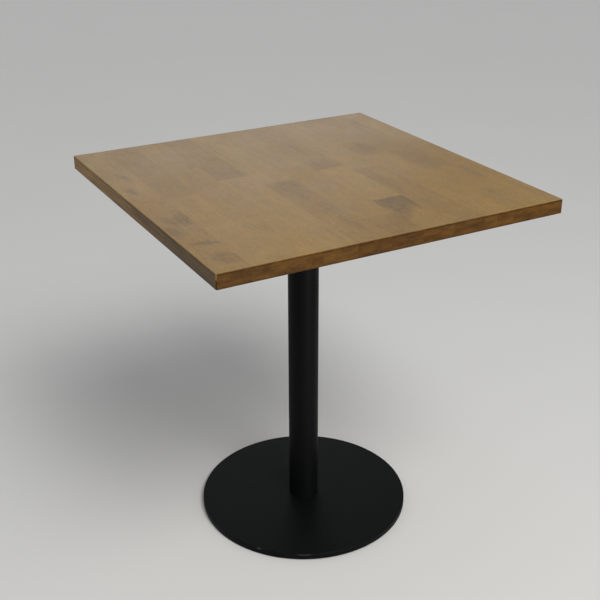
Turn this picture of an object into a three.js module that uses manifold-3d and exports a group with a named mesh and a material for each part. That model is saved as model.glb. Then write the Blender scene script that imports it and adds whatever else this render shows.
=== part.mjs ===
// A square bistro table: a glued-up hardwood top on a round steel column and a flat steel disc.
// Millimetres, +Z up. The origin is on the floor, on the column's axis. +X runs to the right along the
// front edge and +Y runs to the back edge.
import * as THREE from "three";
import { mergeVertices } from "three/addons/utils/BufferGeometryUtils.js";
import Module from "manifold-3d";

const wasm = await Module();
wasm.setup();

// Overall sizes
const TABLE_HEIGHT = 755;
const TOP_SIDE = 700;
const TOP_THICKNESS = 28;
const TOP_UNDERSIDE_Z = TABLE_HEIGHT - TOP_THICKNESS;
const TOP_CORNER_RADIUS = 3;
const TOP_ARRIS_RADIUS = 2;

// The top is glued up from staves that run front to back. The first stave was trimmed with the panel.
const FIRST_STAVE_WIDTH = 63;
const STAVE_PITCH = 65.25;
// For each stave from the left, how far from the back edge one block ends and the next begins.
const BLOCK_ENDS = [[334], [345], [455], [295], [357], [608], [333, 535], [362], [300], [430], [350]];

// Base disc, on levelling glides that stand in shallow pockets
const DISC_RADIUS = 225;
const DISC_THICKNESS = 12;
const DISC_BOTTOM_Z = 2;
const DISC_TOP_Z = DISC_BOTTOM_Z + DISC_THICKNESS;
const DISC_EDGE_CHAMFER = 0.8;

// Column tube, with a steel plug welded in each end
const COLUMN_RADIUS = 31.75;
const COLUMN_WALL = 2;
const PLUG_THICKNESS = 12;

// Spider plate under the top: four arms that reach towards the corners
const SPIDER_THICKNESS = 6;
const SPIDER_BOTTOM_Z = TOP_UNDERSIDE_Z - SPIDER_THICKNESS;
const SPIDER_REACH = 190;
const SPIDER_ARM_HALF_WIDTH = 22;
const SPIDER_FILLET_RADIUS = 45;

// Room between two pieces that fit together, on the radius
const FIT_GAP = 0.3;

// M8 countersunk screws, three at each end of the column
const M8_SHANK_RADIUS = 3.9;
const M8_HOLE_RADIUS = M8_SHANK_RADIUS + FIT_GAP;
const M8_HEAD_RADIUS = 7.8;
const M8_SOCKET_ACROSS_FLATS = 5;
const M8_SOCKET_DEPTH = 2.6;
const SCREWS_PER_PLUG = 3;
const SCREW_CIRCLE_RADIUS = 17;
const FOOT_SCREW_LENGTH = 20;
const HEAD_SCREW_LENGTH = 16;
const SCREW_SET_BACK = 0.3;
const M8_END_CHAMFER = 0.8;

// Pan-head wood screws, two through each arm of the spider
const WOOD_SCREW_RADIUS = 2.5;
const WOOD_SCREW_LENGTH = 25;
const WOOD_SCREW_POINT = 5;
const WOOD_SCREW_HEAD_RADIUS = 4.8;
const WOOD_SCREW_HEAD_HEIGHT = 3;
const WOOD_SCREW_HEAD_CROWN_RADIUS = 3.3;
const WOOD_SCREW_HEAD_SHOULDER_RADIUS = 4.4;
const WOOD_SCREW_HEAD_SHOULDER_HEIGHT = 2.1;
const WOOD_SCREW_RECESS_DEPTH = 1.8;
const WOOD_SCREW_RECESS_LENGTH = 4.8;
const WOOD_SCREW_RECESS_WIDTH = 1.2;
const WOOD_SCREW_POINT_ROOM = 1;
const WOOD_SCREW_DISTANCES = [115, 168];

// Levelling glides: a steel stud that turns in the disc and carries a plastic pad
const GLIDE_COUNT = 4;
const GLIDE_CIRCLE_RADIUS = 185;
const GLIDE_POCKET_RADIUS = 15.5;
const GLIDE_POCKET_DEPTH = 4;
const PAD_RADIUS = 14;
const PAD_HEIGHT = DISC_BOTTOM_Z + GLIDE_POCKET_DEPTH - FIT_GAP;
const PAD_LOWER_CHAMFER = 0.8;
const PAD_UPPER_CHAMFER = 0.5;
const PAD_KEY_HOLE_RADIUS = 3.2;
const PAD_LIP_RADIUS = 5.2;
const STUD_TOP_Z = 12;
const STUD_SOCKET_ACROSS_FLATS = 4;
const STUD_SOCKET_DEPTH = 4;
const FLANGE_RADIUS = 8;
const FLANGE_BOTTOM_Z = 2;
const FLANGE_TOP_Z = 3.6;

const DISC_SEGMENTS = 72;
const TUBE_SEGMENTS = 48;
const PAD_SEGMENTS = 24;
const SMALL_SEGMENTS = 16;
const SPIDER_CURVE_SEGMENTS = 8;
// How far a cutting tool reaches past the face it cuts through
const CUT_PAST = 2;

const QUARTER_TURN = Math.PI / 2;
const FULL_TURN = 2 * Math.PI;

const LOOKS = {
  wood: { color: 0x9b845f, roughness: 0.42, metalness: 0 },
  blackCoat: { color: 0x1b1c1e, roughness: 0.5, metalness: 0.1 },
  steel: { color: 0xa9adb0, roughness: 0.35, metalness: 1 },
  nylon: { color: 0x202124, roughness: 0.7, metalness: 0 },
};

// ---- geometry helpers ----

function solidOf(geometry) {
  const plain = geometry.clone();
  plain.deleteAttribute("normal");
  plain.deleteAttribute("uv");
  const merged = mergeVertices(plain, 1e-4);
  return new wasm.Manifold(
    new wasm.Mesh({
      numProp: 3,
      vertProperties: merged.getAttribute("position").array,
      triVerts: new Uint32Array(merged.index.array),
    }),
  );
}

function geometryOf(solid) {
  const mesh = solid.getMesh();
  const geometry = new THREE.BufferGeometry();
  geometry.setAttribute("position", new THREE.BufferAttribute(mesh.vertProperties, 3));
  geometry.setIndex(new THREE.BufferAttribute(mesh.triVerts, 1));
  geometry.computeVertexNormals();
  return geometry;
}

// Turns a profile of [radius, height] points about the Z axis. The profile goes up its outer side.
function turned(profile, segments) {
  const points = profile.map(([radius, height]) => new THREE.Vector2(radius, height));
  return solidOf(new THREE.LatheGeometry(points, segments).rotateX(QUARTER_TURN));
}

function cylinder(radius, low, high, segments) {
  return turned([[0, low], [radius, low], [radius, high], [0, high]], segments);
}

function hexagonalPrism(acrossFlats, low, high) {
  const cornerRadius = acrossFlats / Math.sqrt(3);
  return cylinder(cornerRadius, low, high, 6);
}

function box(minimum, maximum) {
  const size = maximum.map((value, i) => value - minimum[i]);
  const middle = maximum.map((value, i) => (value + minimum[i]) / 2);
  return solidOf(new THREE.BoxGeometry(...size).translate(...middle));
}

// Places on a circle about the Z axis, evenly spaced from a first angle.
function onCircle(count, radius, firstAngle) {
  return Array.from({ length: count }, (_, i) => {
    const angle = firstAngle + (i * FULL_TURN) / count;
    return [radius * Math.cos(angle), radius * Math.sin(angle)];
  });
}

function cutAt(solid, places, tool) {
  return places.reduce((left, [x, y]) => left.subtract(tool.translate([x, y, 0])), solid);
}

const screwPlaces = onCircle(SCREWS_PER_PLUG, SCREW_CIRCLE_RADIUS, QUARTER_TURN);
const glidePlaces = onCircle(GLIDE_COUNT, GLIDE_CIRCLE_RADIUS, QUARTER_TURN / 2);
const woodScrewPlaces = WOOD_SCREW_DISTANCES.flatMap((distance) => onCircle(4, distance, QUARTER_TURN / 2));

// ---- the group, and a helper that adds a named mesh to it ----

const table = new THREE.Group();

function addMesh(parent, name, geometry, look) {
  const mesh = new THREE.Mesh(geometry, new THREE.MeshStandardMaterial(LOOKS[look]));
  mesh.name = name;
  parent.add(mesh);
  return mesh;
}

// ---- tabletop ----

// The whole panel, with rounded corners and eased arrises.
function topPanel() {
  const half = TOP_SIDE / 2;
  const centre = half - TOP_CORNER_RADIUS;
  const outline = new THREE.Shape();
  for (let corner = 0; corner < 4; corner += 1) {
    const start = corner * QUARTER_TURN;
    const x = centre * Math.SQRT2 * Math.cos(start + QUARTER_TURN / 2);
    const y = centre * Math.SQRT2 * Math.sin(start + QUARTER_TURN / 2);
    outline.absarc(x, y, TOP_CORNER_RADIUS, start, start + QUARTER_TURN);
  }
  const panel = new THREE.ExtrudeGeometry(outline, {
    depth: TOP_THICKNESS - 2 * TOP_ARRIS_RADIUS,
    bevelEnabled: true,
    bevelSize: TOP_ARRIS_RADIUS,
    bevelThickness: TOP_ARRIS_RADIUS,
    bevelOffset: -TOP_ARRIS_RADIUS,
    bevelSegments: 3,
    curveSegments: 4,
  });
  return solidOf(panel.translate(0, 0, TOP_UNDERSIDE_Z + TOP_ARRIS_RADIUS));
}

function addTop(parent) {
  const half = TOP_SIDE / 2;
  const pilotHole = cylinder(
    WOOD_SCREW_RADIUS + FIT_GAP,
    TOP_UNDERSIDE_Z - CUT_PAST,
    SPIDER_BOTTOM_Z + WOOD_SCREW_LENGTH + WOOD_SCREW_POINT_ROOM,
    SMALL_SEGMENTS,
  );
  const panel = cutAt(topPanel(), woodScrewPlaces, pilotHole);
  const lastStave = BLOCK_ENDS.length - 1;
  const seam = (stave) => -half + FIRST_STAVE_WIDTH + (stave - 1) * STAVE_PITCH;
  BLOCK_ENDS.forEach((ends, stave) => {
    const left = stave === 0 ? -half - CUT_PAST : seam(stave);
    const right = stave === lastStave ? half + CUT_PAST : seam(stave + 1);
    const fromBack = [-CUT_PAST, ...ends, TOP_SIDE + CUT_PAST];
    for (let block = 1; block < fromBack.length; block += 1) {
      const tool = box(
        [left, half - fromBack[block], TOP_UNDERSIDE_Z - CUT_PAST],
        [right, half - fromBack[block - 1], TABLE_HEIGHT + CUT_PAST],
      );
      const name = `stave_${stave + 1}_block_${block}`;
      addMesh(parent, name, geometryOf(panel.intersect(tool)), "wood");
    }
  });
}

// ---- base disc and column ----

// The cutter for a countersunk M8 screw whose head is at a face of the given height. It points down.
function countersink(faceZ, thickness) {
  const rimRadius = M8_HEAD_RADIUS + FIT_GAP;
  const coneDepth = rimRadius - M8_HOLE_RADIUS;
  return turned(
    [
      [0, faceZ - thickness - CUT_PAST],
      [M8_HOLE_RADIUS, faceZ - thickness - CUT_PAST],
      [M8_HOLE_RADIUS, faceZ - coneDepth],
      [rimRadius, faceZ],
      [rimRadius, faceZ + CUT_PAST],
      [0, faceZ + CUT_PAST],
    ],
    SMALL_SEGMENTS,
  );
}

function addDisc(parent) {
  const body = turned(
    [
      [0, DISC_BOTTOM_Z],
      [DISC_RADIUS - DISC_EDGE_CHAMFER, DISC_BOTTOM_Z],
      [DISC_RADIUS, DISC_BOTTOM_Z + DISC_EDGE_CHAMFER],
      [DISC_RADIUS, DISC_TOP_Z - DISC_EDGE_CHAMFER],
      [DISC_RADIUS - DISC_EDGE_CHAMFER, DISC_TOP_Z],
      [0, DISC_TOP_Z],
    ],
    DISC_SEGMENTS,
  );
  const screwHole = countersink(0, DISC_THICKNESS)
    .rotate([180, 0, 0])
    .translate([0, 0, DISC_BOTTOM_Z]);
  const pocketTopZ = DISC_BOTTOM_Z + GLIDE_POCKET_DEPTH;
  const pocket = cylinder(GLIDE_POCKET_RADIUS, DISC_BOTTOM_Z - CUT_PAST, pocketTopZ, PAD_SEGMENTS);
  const tappedHole = cylinder(M8_HOLE_RADIUS, DISC_BOTTOM_Z, STUD_TOP_Z + 2 * FIT_GAP, SMALL_SEGMENTS);
  const withScrewHoles = cutAt(body, screwPlaces, screwHole);
  const disc = cutAt(withScrewHoles, glidePlaces, pocket.add(tappedHole));
  addMesh(parent, "base_disc", geometryOf(disc), "blackCoat");
}

function addColumn(parent) {
  const innerRadius = COLUMN_RADIUS - COLUMN_WALL;
  const tube = turned(
    [
      [innerRadius, DISC_TOP_Z],
      [COLUMN_RADIUS, DISC_TOP_Z],
      [COLUMN_RADIUS, SPIDER_BOTTOM_Z],
      [innerRadius, SPIDER_BOTTOM_Z],
      [innerRadius, DISC_TOP_Z],
    ],
    TUBE_SEGMENTS,
  );
  addMesh(parent, "column_tube", geometryOf(tube), "blackCoat");

  const plugAt = (low) => {
    const high = low + PLUG_THICKNESS;
    const blank = cylinder(innerRadius - FIT_GAP, low, high, TUBE_SEGMENTS);
    const tappedHole = cylinder(M8_HOLE_RADIUS, low - CUT_PAST, high + CUT_PAST, SMALL_SEGMENTS);
    return cutAt(blank, screwPlaces, tappedHole);
  };
  addMesh(parent, "foot_plug", geometryOf(plugAt(DISC_TOP_Z)), "steel");
  addMesh(parent, "head_plug", geometryOf(plugAt(SPIDER_BOTTOM_Z - PLUG_THICKNESS)), "steel");
}

// ---- spider plate ----

// A cross with round arm ends and filleted inner corners, its arms along X and Y.
function spiderOutline() {
  const tipCentre = SPIDER_REACH - SPIDER_ARM_HALF_WIDTH;
  const filletCentre = SPIDER_ARM_HALF_WIDTH + SPIDER_FILLET_RADIUS;
  const outline = new THREE.Shape();
  for (let arm = 0; arm < 4; arm += 1) {
    const turn = arm * QUARTER_TURN;
    const place = (x, y) => [
      x * Math.cos(turn) - y * Math.sin(turn),
      x * Math.sin(turn) + y * Math.cos(turn),
    ];
    const tip = place(tipCentre, 0);
    const fillet = place(filletCentre, filletCentre);
    outline.absarc(...tip, SPIDER_ARM_HALF_WIDTH, turn - QUARTER_TURN, turn + QUARTER_TURN);
    outline.absarc(...fillet, SPIDER_FILLET_RADIUS, turn - QUARTER_TURN, turn - Math.PI, true);
  }
  return outline;
}

function addSpider(parent) {
  const plate = new THREE.ExtrudeGeometry(spiderOutline(), {
    depth: SPIDER_THICKNESS,
    bevelEnabled: false,
    curveSegments: SPIDER_CURVE_SEGMENTS,
  });
  plate.rotateZ(QUARTER_TURN / 2);
  plate.translate(0, 0, SPIDER_BOTTOM_Z);
  const screwHole = countersink(TOP_UNDERSIDE_Z, SPIDER_THICKNESS);
  const woodScrewHole = cylinder(
    WOOD_SCREW_RADIUS + FIT_GAP,
    SPIDER_BOTTOM_Z - CUT_PAST,
    TOP_UNDERSIDE_Z + CUT_PAST,
    SMALL_SEGMENTS,
  );
  const withScrewHoles = cutAt(solidOf(plate), screwPlaces, screwHole);
  const spider = cutAt(withScrewHoles, woodScrewPlaces, woodScrewHole);
  addMesh(parent, "top_spider", geometryOf(spider), "blackCoat");
}

// ---- fasteners ----

// A countersunk M8 socket screw, its head's face at height 0 and its shank pointing down.
function countersunkScrew(length) {
  const coneDepth = M8_HEAD_RADIUS - M8_SHANK_RADIUS;
  const blank = turned(
    [
      [0, -length],
      [M8_SHANK_RADIUS - M8_END_CHAMFER, -length],
      [M8_SHANK_RADIUS, -length + M8_END_CHAMFER],
      [M8_SHANK_RADIUS, -coneDepth],
      [M8_HEAD_RADIUS, 0],
      [0, 0],
    ],
    SMALL_SEGMENTS,
  );
  const socket = hexagonalPrism(M8_SOCKET_ACROSS_FLATS, -M8_SOCKET_DEPTH, CUT_PAST);
  return blank.subtract(socket);
}

// A pan-head wood screw, the underside of its head at height 0 and its point up.
function woodScrew() {
  const crownZ = -WOOD_SCREW_HEAD_HEIGHT;
  const blank = turned(
    [
      [0, crownZ],
      [WOOD_SCREW_HEAD_CROWN_RADIUS, crownZ],
      [WOOD_SCREW_HEAD_SHOULDER_RADIUS, -WOOD_SCREW_HEAD_SHOULDER_HEIGHT],
      [WOOD_SCREW_HEAD_RADIUS, 0],
      [WOOD_SCREW_RADIUS, 0],
      [WOOD_SCREW_RADIUS, WOOD_SCREW_LENGTH - WOOD_SCREW_POINT],
      [0, WOOD_SCREW_LENGTH],
    ],
    SMALL_SEGMENTS,
  );
  const slot = box(
    [-WOOD_SCREW_RECESS_LENGTH / 2, -WOOD_SCREW_RECESS_WIDTH / 2, crownZ - CUT_PAST],
    [WOOD_SCREW_RECESS_LENGTH / 2, WOOD_SCREW_RECESS_WIDTH / 2, crownZ + WOOD_SCREW_RECESS_DEPTH],
  );
  const crossSlot = slot.rotate([0, 0, 90]);
  return blank.subtract(slot.add(crossSlot));
}

function addScrews(parent) {
  const footScrew = geometryOf(countersunkScrew(FOOT_SCREW_LENGTH));
  const headScrew = geometryOf(countersunkScrew(HEAD_SCREW_LENGTH));
  const topScrew = geometryOf(woodScrew());
  screwPlaces.forEach(([x, y], i) => {
    const foot = addMesh(parent, `foot_screw_${i + 1}`, footScrew, "steel");
    foot.rotation.x = Math.PI;
    foot.position.set(x, y, DISC_BOTTOM_Z + SCREW_SET_BACK);
    const head = addMesh(parent, `head_screw_${i + 1}`, headScrew, "steel");
    head.position.set(x, y, TOP_UNDERSIDE_Z - SCREW_SET_BACK);
  });
  woodScrewPlaces.forEach(([x, y], i) => {
    const screw = addMesh(parent, `wood_screw_${i + 1}`, topScrew, "steel");
    screw.position.set(x, y, SPIDER_BOTTOM_Z);
  });
}

// ---- levelling glides ----

// The pad is a cup whose lip holds the stud's flange. A hex key reaches the stud through its bottom.
function glidePad() {
  const cupRadius = FLANGE_RADIUS + FIT_GAP;
  const cupTopZ = FLANGE_TOP_Z + FIT_GAP;
  const cupBottomZ = FLANGE_BOTTOM_Z - FIT_GAP;
  return turned(
    [
      [PAD_KEY_HOLE_RADIUS, 0],
      [PAD_RADIUS - PAD_LOWER_CHAMFER, 0],
      [PAD_RADIUS, PAD_LOWER_CHAMFER],
      [PAD_RADIUS, PAD_HEIGHT - PAD_UPPER_CHAMFER],
      [PAD_RADIUS - PAD_UPPER_CHAMFER, PAD_HEIGHT],
      [PAD_LIP_RADIUS, PAD_HEIGHT],
      [PAD_LIP_RADIUS, cupTopZ],
      [cupRadius, cupTopZ],
      [cupRadius, cupBottomZ],
      [PAD_KEY_HOLE_RADIUS, cupBottomZ],
      [PAD_KEY_HOLE_RADIUS, 0],
    ],
    PAD_SEGMENTS,
  );
}

function glideStud() {
  const blank = turned(
    [
      [0, FLANGE_BOTTOM_Z],
      [FLANGE_RADIUS, FLANGE_BOTTOM_Z],
      [FLANGE_RADIUS, FLANGE_TOP_Z],
      [M8_SHANK_RADIUS, FLANGE_TOP_Z],
      [M8_SHANK_RADIUS, STUD_TOP_Z - M8_END_CHAMFER],
      [M8_SHANK_RADIUS - M8_END_CHAMFER, STUD_TOP_Z],
      [0, STUD_TOP_Z],
    ],
    SMALL_SEGMENTS,
  );
  const socket = hexagonalPrism(
    STUD_SOCKET_ACROSS_FLATS,
    FLANGE_BOTTOM_Z - CUT_PAST,
    FLANGE_BOTTOM_Z + STUD_SOCKET_DEPTH,
  );
  return blank.subtract(socket);
}

function addGlides(parent) {
  const pad = geometryOf(glidePad());
  const stud = geometryOf(glideStud());
  glidePlaces.forEach(([x, y], i) => {
    const glide = new THREE.Group();
    glide.position.set(x, y, 0);
    addMesh(glide, `glide_pad_${i + 1}`, pad, "nylon");
    addMesh(glide, `glide_stud_${i + 1}`, stud, "steel");
    parent.add(glide);
  });
}

addDisc(table);
addColumn(table);
addSpider(table);
addTop(table);
addScrews(table);
addGlides(table);

export default table;
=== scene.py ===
"""The looks of a square bistro table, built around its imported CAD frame.

The frame has its origin on the floor, on the column's axis, with +Z up. +X runs to the right along the
front edge of the top, and +Y runs to its back edge, along the grain of the staves. Shapes are written in
millimetres in that frame, and scaled to metres as they become meshes.
"""

import math
import random

import bmesh
import bpy
from mathutils import Matrix, Vector


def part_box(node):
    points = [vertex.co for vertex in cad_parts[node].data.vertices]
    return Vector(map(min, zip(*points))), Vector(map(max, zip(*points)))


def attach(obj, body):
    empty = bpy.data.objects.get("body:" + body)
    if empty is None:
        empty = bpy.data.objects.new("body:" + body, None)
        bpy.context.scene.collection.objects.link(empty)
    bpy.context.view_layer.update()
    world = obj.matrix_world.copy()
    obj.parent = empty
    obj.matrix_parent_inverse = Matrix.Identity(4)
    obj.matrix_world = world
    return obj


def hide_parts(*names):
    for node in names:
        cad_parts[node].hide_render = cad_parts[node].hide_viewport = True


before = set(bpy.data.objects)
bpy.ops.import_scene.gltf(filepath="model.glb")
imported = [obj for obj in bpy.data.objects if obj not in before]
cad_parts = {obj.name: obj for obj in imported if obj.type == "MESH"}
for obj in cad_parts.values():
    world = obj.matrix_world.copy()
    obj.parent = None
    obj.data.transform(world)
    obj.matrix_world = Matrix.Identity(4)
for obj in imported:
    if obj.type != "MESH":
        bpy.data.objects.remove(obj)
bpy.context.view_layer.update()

MM = 0.001
TURN = 2 * math.pi
X, Y, Z = 0, 1, 2

# Coordinates closer than this are the same one, since Blender's vectors are of single precision.
NEAR = 0.01


def node_box(node):
    """Lowest and highest corner of a CAD node, in millimetres."""
    low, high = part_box(node)
    return low / MM, high / MM


def node_centre(node):
    low, high = node_box(node)
    return (low + high) / 2


def nodes_named(start):
    return sorted(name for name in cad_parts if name.startswith(start))


# ---- sizes ----

DISC_LOW, DISC_HIGH = node_box("base_disc")
DISC_RADIUS = DISC_HIGH.x
DISC_EDGE_ROUND = 0.9
COLUMN_LOW, COLUMN_HIGH = node_box("column_tube")
COLUMN_RADIUS = COLUMN_HIGH.x
COLUMN_WALL = 2
PLUG_RADIUS = node_box("foot_plug")[1].x
PLUG_EDGE_ROUND = 0.6
SPIDER_LOW, SPIDER_HIGH = node_box("top_spider")
STAVES = nodes_named("stave_")
TOP_LOW = Vector([min(node_box(name)[0][axis] for name in STAVES) for axis in range(3)])
TOP_HIGH = Vector([max(node_box(name)[1][axis] for name in STAVES) for axis in range(3)])
TOP_CORNER_RADIUS = 3
TOP_ARRIS_RADIUS = 2

M8_PITCH = 1.25
M8_MAJOR_RADIUS = 4
M8_THREAD_DEPTH = 0.72
M8_HOLE_RADIUS = 4.2
M8_HEAD_RADIUS = 7.8
M8_HEAD_EDGE = 0.5
M8_HEAD_ROUND = 0.3
COUNTERSINK_RADIUS = M8_HEAD_RADIUS + 0.3
COUNTERSINK_DEPTH = COUNTERSINK_RADIUS - M8_HOLE_RADIUS
M8_END_CHAMFER = 0.8
M8_SOCKET_ACROSS_FLATS = 5
M8_SOCKET_DEPTH = 2.6

WOOD_SCREW_PITCH = 2.2
WOOD_SCREW_RADIUS = 2.5
WOOD_SCREW_THREAD_DEPTH = 0.8
WOOD_SCREW_HOLE_RADIUS = 2.8
WOOD_SCREW_HEAD_RADIUS = 4.8
WOOD_SCREW_HEAD_HEIGHT = 3
WOOD_SCREW_HEAD_ROUND = 1.4
WOOD_SCREW_HEAD_CROWN = 0.7
WOOD_SCREW_SMALL_ROUND = 0.2
WOOD_SCREW_PLAIN_SHANK = 6
WOOD_SCREW_POINT = 5
WOOD_SCREW_TIP_RADIUS = 1
WOOD_SCREW_TIP_LENGTH = 1.6
RECESS_DEPTH = 1.8
RECESS_HALF_LENGTH = 2.4
RECESS_HALF_WIDTH = 0.55
SCREW_SEGMENTS = 40

GLIDE_POCKET_RADIUS = 15.5
GLIDE_POCKET_DEPTH = 4
HOLE_CHAMFER = 0.3
STUD_END_ROOM = 0.6
PAD_RADIUS = 14
PAD_HOLE_RADIUS = 3.2
PAD_NECK_RADIUS = 5.2
PAD_CUP_RADIUS = 8.3
PAD_CUP_ROOM = 0.3
PAD_RIBS = 36
PAD_RIB_DEPTH = 0.35
STUD_FLANGE_RADIUS = 8
STUD_FLANGE_THICKNESS = 1.6
STUD_NECK_RADIUS = 3.6
STUD_ROUND = 0.3
STUD_SOCKET_ACROSS_FLATS = 4
STUD_SOCKET_DEPTH = 4

SPIDER_REACH = 190
SPIDER_ARM_HALF_WIDTH = 22
SPIDER_FILLET_RADIUS = 45
SPIDER_EDGE_ROUND = 0.6


# ---- mesh helpers ----

ARC_STEPS = 4
SHARP_DEGREES = 32
LEVEL_NORMAL = 0.9999
WELD_DISTANCE = 0.001


def link_object(name, mesh):
    obj = bpy.data.objects.new(name, mesh)
    bpy.context.scene.collection.objects.link(obj)
    return obj


def shade(obj):
    """Smooth shading with sharp edges kept, and normals that leave flat faces flat."""
    obj.data.shade_smooth()
    obj.data.set_sharp_from_angle(angle=math.radians(SHARP_DEGREES))
    weighted = obj.modifiers.new("weighted normals", "WEIGHTED_NORMAL")
    weighted.keep_sharp = True
    return obj


def shade_plate(obj):
    """The same for a plate, whose level faces are many triangles and stay flat up to their edges."""
    shade(obj)
    bm = bmesh.new()
    bm.from_mesh(obj.data)
    for edge in bm.edges:
        level = [abs(face.normal.z) > LEVEL_NORMAL for face in edge.link_faces]
        if any(level) and not all(level):
            edge.smooth = False
    bm.to_mesh(obj.data)
    bm.free()
    return obj


def object_of(name, bm):
    """Makes an object of a bmesh drawn in millimetres."""
    bmesh.ops.recalc_face_normals(bm, faces=bm.faces)
    bmesh.ops.scale(bm, vec=(MM, MM, MM), verts=bm.verts)
    mesh = bpy.data.meshes.new(name)
    bm.to_mesh(mesh)
    bm.free()
    return link_object(name, mesh)


def bridge(bm, below, above):
    """Faces between two rings. A ring of one vertex is a point on the axis."""
    count = max(len(below), len(above))
    for i in range(count):
        corners = []
        for ring, order in ((below, (i, i + 1)), (above, (i + 1, i))):
            for k in order:
                vertex = ring[k % len(ring)]
                if vertex not in corners:
                    corners.append(vertex)
        if len(corners) > 2:
            bm.faces.new(corners)


def lathe(name, profile, segments, shape=None):
    """Turns a profile of (radius, height) points about the Z axis. shape(radius, height, angle) gives
    each point's own radius, for threads and ribs. A closed profile ends where it starts."""
    bm = bmesh.new()
    rings = []
    closed = profile[0] == profile[-1]
    for radius, height in profile[:-1] if closed else profile:
        if radius == 0:
            rings.append([bm.verts.new((0, 0, height))])
            continue
        ring = []
        for i in range(segments):
            angle = TURN * i / segments
            own = shape(radius, height, angle) if shape else radius
            ring.append(bm.verts.new((own * math.cos(angle), own * math.sin(angle), height)))
        rings.append(ring)
    if closed:
        rings.append(rings[0])
    for below, above in zip(rings, rings[1:]):
        bridge(bm, below, above)
    return object_of(name, bm)


def rounded(corners):
    """A profile with arcs at its corners. Each corner is (radius, height, size of its arc)."""
    points = []
    for i, (radius, height, arc) in enumerate(corners):
        here = Vector((radius, height))
        if arc == 0:
            points.append(tuple(here))
            continue
        before = (Vector(corners[i - 1][:2]) - here).normalized()
        after = (Vector(corners[(i + 1) % len(corners)][:2]) - here).normalized()
        half_angle = before.angle(after) / 2
        centre = here + (before + after).normalized() * arc / math.sin(half_angle)
        reach = arc / math.tan(half_angle)
        start = (here + before * reach - centre).normalized()
        end = (here + after * reach - centre).normalized()
        for k in range(ARC_STEPS + 1):
            points.append(tuple(centre + arc * start.slerp(end, k / ARC_STEPS)))
    return points


def prism(name, outline, low, high):
    """A straight-sided solid from a flat outline of (x, y) points."""
    bm = bmesh.new()
    rings = [[bm.verts.new((x, y, height)) for x, y in outline] for height in (low, high)]
    bridge(bm, *rings)
    for ring in rings:
        bm.faces.new(ring)
    return object_of(name, bm)


def regular_outline(sides, radius):
    angles = [TURN * i / sides for i in range(sides)]
    return [(radius * math.cos(angle), radius * math.sin(angle)) for angle in angles]


def circles(profile, segments, centre=(0, 0)):
    """One ring of points for each (radius, height) of a profile, about an upright axis at centre."""
    rings = []
    for radius, height in profile:
        outline = regular_outline(segments, radius)
        rings.append([(centre[0] + x, centre[1] + y, height) for x, y in outline])
    return rings


def rounded_side(radius, low, high, arc):
    """The profile of a plate's side from the bottom up, with an arc at each edge."""
    return rounded([(0, low, 0), (radius, low, arc), (radius, high, arc), (0, high, 0)])[1:-1]


def plate(name, skin, holes):
    """A solid between two level faces, with upright holes. The skin and each hole are rings of points from
    the bottom up. A hole that stops short of the upper face gets a flat end."""
    bm = bmesh.new()
    top = skin[-1][0][Z]
    lower_loops = []
    upper_loops = []
    for part in (skin, *holes):
        rings = [[bm.verts.new(point) for point in ring] for ring in part]
        for below, above in zip(rings, rings[1:]):
            bridge(bm, below, above)
        lower_loops.append(rings[0])
        if part[-1][0][Z] == top:
            upper_loops.append(rings[-1])
        else:
            bm.faces.new(rings[-1])
    for loops in (lower_loops, upper_loops):
        edges = [bm.edges.get((ring[i - 1], ring[i])) for ring in loops for i in range(len(ring))]
        bmesh.ops.triangle_fill(bm, use_beauty=True, edges=edges)
    return object_of(name, bm)


def hexagon(name, across_flats, low, high):
    return prism(name, regular_outline(6, across_flats / math.sqrt(3)), low, high)


def place(obj, x, y, z=0, upside_down=False):
    """Moves a mesh to its place in the frame. The object itself stays at the origin."""
    turn = Matrix.Rotation(math.pi, 4, "X") if upside_down else Matrix.Identity(4)
    obj.data.transform(Matrix.Translation(Vector((x, y, z)) * MM) @ turn)
    return obj


def copy_of(obj, name):
    return link_object(name, obj.data.copy())


def remove(obj):
    mesh = obj.data
    bpy.data.objects.remove(obj)
    bpy.data.meshes.remove(mesh)


def cut(obj, tools):
    """Cuts each tool out of the object, and removes the tools."""
    for tool in tools:
        boolean = obj.modifiers.new("cut", "BOOLEAN")
        boolean.operation = "DIFFERENCE"
        boolean.solver = "EXACT"
        boolean.object = tool
    graph = bpy.context.evaluated_depsgraph_get()
    whole = obj.data
    obj.data = bpy.data.meshes.new_from_object(obj.evaluated_get(graph))
    obj.modifiers.clear()
    bpy.data.meshes.remove(whole)
    for tool in tools:
        remove(tool)
    return weld(obj)


def weld(obj):
    """Merges points that a cut left on top of one another, and drops the empty faces between them."""
    bm = bmesh.new()
    bm.from_mesh(obj.data)
    bmesh.ops.remove_doubles(bm, verts=bm.verts, dist=WELD_DISTANCE * MM)
    bmesh.ops.dissolve_degenerate(bm, edges=bm.edges, dist=WELD_DISTANCE * MM)
    bm.to_mesh(obj.data)
    bm.free()
    return obj


def bevel_edges(bm, edges, radius, segments):
    bmesh.ops.bevel(
        bm,
        geom=edges,
        offset=radius,
        segments=segments,
        profile=0.5,
        affect="EDGES",
        clamp_overlap=True,
    )


def stand_for(obj, node, body, material):
    """The object is the shown form of a CAD node."""
    obj.data.materials.clear()
    obj.data.materials.append(material)
    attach(obj, body)
    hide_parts(node)
    return obj


# ---- shader helper ----


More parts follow.
